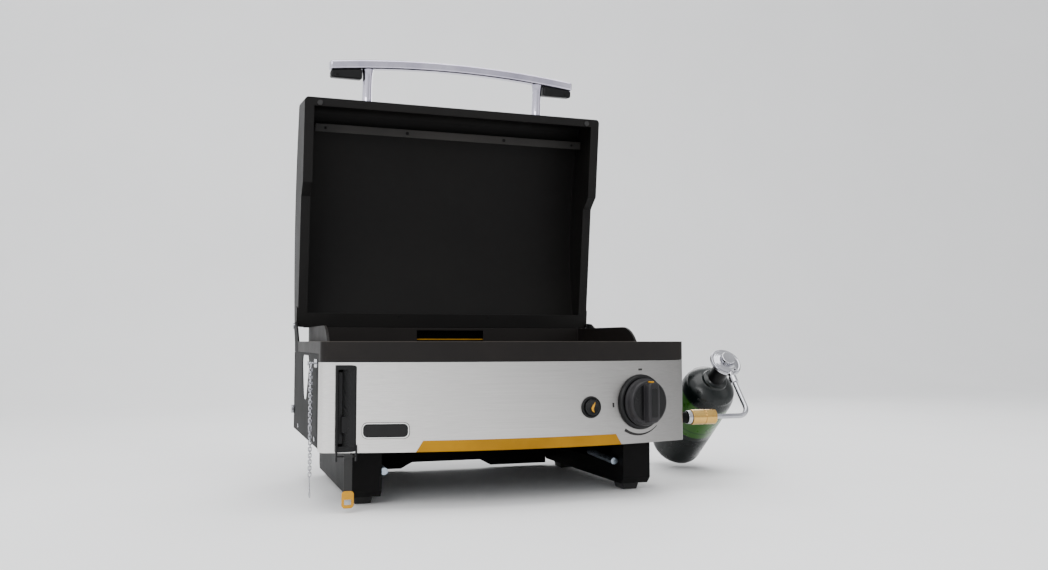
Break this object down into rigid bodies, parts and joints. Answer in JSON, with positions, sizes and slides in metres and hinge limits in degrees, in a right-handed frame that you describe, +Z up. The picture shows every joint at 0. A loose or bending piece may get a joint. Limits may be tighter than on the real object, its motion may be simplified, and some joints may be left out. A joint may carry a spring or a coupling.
{
  "type": "folding camp grill",
  "caption": "Portable tabletop gas griddle with hinged black hood, bowed steel front, sled legs, side regulator and screwed-on gas cylinder.",
  "frame": {"origin": "bottom centre of the bounding box, with the hood open", "axes": "+Z up, -Y towards the user (front panel), +X towards the gas cylinder"},
  "size_m": [0.7832, 0.5416, 0.7665],
  "materials": {
    "stainless": "brushed",
    "black_paint": "satin",
    "hood_enamel": "gloss",
    "galvanised": "dull",
    "griddle_steel": "seasoned",
    "chrome": "polished",
    "black_plastic": "matte",
    "yellow_plastic": "gloss",
    "yellow_paint": "satin",
    "rubber": "matte",
    "brass": "satin",
    "ceramic": "glazed",
    "green_paint": "gloss",
    "bright_steel": "bright"
  },
  "bodies": {
    "base": {"front_panel": "stainless", "left_side_panel": "black_paint", "right_side_panel": "black_paint", "rear_panel": "black_paint", "burner_box": "galvanised", "griddle_supports": "galvanised", "griddle_plate": "griddle_steel", "grease_tray_rails": "black_paint", "left_leg_frame": "black_paint", "right_leg_frame": "black_paint", "rubber_feet": "rubber", "rear_leg_panel": "black_paint", "leg_brace_rods": "bright_steel", "burner_tube": "stainless", "venturi_tube": "galvanised", "burner_brackets": "galvanised", "gas_valve": "brass", "inlet_pipe": "bright_steel", "igniter_bezel": "black_plastic", "igniter_module": "black_plastic", "igniter_electrode": "ceramic", "knob_bezel": "black_plastic", "latch_housing": "black_plastic", "latch_pin": "bright_steel", "latch_guides": "bright_steel", "hinge_brackets": "black_paint", "hinge_pins": "bright_steel", "side_bolts": "bright_steel", "inlet_bulkhead": "black_paint", "inlet_ring": "chrome", "brass_fitting": "brass", "gas_tube": "bright_steel", "tube_nut": "brass", "regulator_body": "galvanised", "regulator_cap": "yellow_plastic", "cylinder_adapter": "black_plastic", "badge_plate": "black_plastic", "accent_strip": "yellow_paint", "body_screws": "bright_steel", "chain_bracket": "bright_steel"},
    "tray": {"grease_tray": "galvanised", "grease_tray_strip": "yellow_paint"},
    "hood": {"lid_shell": "hood_enamel", "lid_baffle": "hood_enamel", "lid_bumpers": "rubber", "hood_screws": "bright_steel", "hinge_leaves": "black_paint", "handle_bar": "chrome", "handle_posts": "chrome", "handle_grips": "black_plastic"},
    "knob": {"control_knob": "black_plastic", "knob_pointer": "yellow_plastic", "valve_stem": "brass"},
    "igniter": {"igniter_button": "black_plastic"},
    "latch": {"latch_lever": "black_plastic"},
    "pull": {"pull_strap": "rubber", "pull_tab": "yellow_plastic"},
    "chain": {"match_chain": "bright_steel", "match_holder": "bright_steel"},
    "bottle": {"gas_cylinder": "green_paint"}
  },
  "joints": [
    {"name": "hood_hinge", "type": "hinge", "parent": "base", "child": "hood", "pos_m": [-0.0916, 0.18875, 0.2677], "axis": [1, 0, 0], "range_deg": [0, 83]},
    {"name": "tray_slide", "type": "slide", "parent": "base", "child": "tray", "axis": [0, 1, 0], "range_m": [0, 0.06]},
    {"name": "knob_turn", "type": "hinge", "parent": "base", "child": "knob", "pos_m": [0.1071, -0.23306, 0.1464], "axis": [0.206, -0.9785, 0], "range_deg": [0, 240]},
    {"name": "igniter_press", "type": "slide", "parent": "base", "child": "igniter", "axis": [-0.1135, 0.9935, 0], "range_m": [0, 0.004], "stiffness_N_per_m": 800},
    {"name": "latch_turn", "type": "hinge", "parent": "base", "child": "latch", "pos_m": [-0.3448, -0.21542, 0.1005], "axis": [1, 0, 0], "range_deg": [0, 90]},
    {"name": "pull_swing", "type": "hinge", "parent": "base", "child": "pull", "pos_m": [-0.3421, -0.22492, 0.079], "axis": [-1, 0, 0], "range_deg": [-15, 40]},
    {"name": "chain_swing", "type": "hinge", "parent": "base", "child": "chain", "pos_m": [-0.3866, -0.14975, 0.208], "axis": [1, 0, 0], "range_deg": [-20, 20]},
    {"name": "cylinder_turn", "type": "hinge", "parent": "base", "child": "bottle", "pos_m": [0.3424, -0.09375, 0.203], "axis": [0, -0.766, 0.6428], "range_deg": [0, 350]}
  ]
}
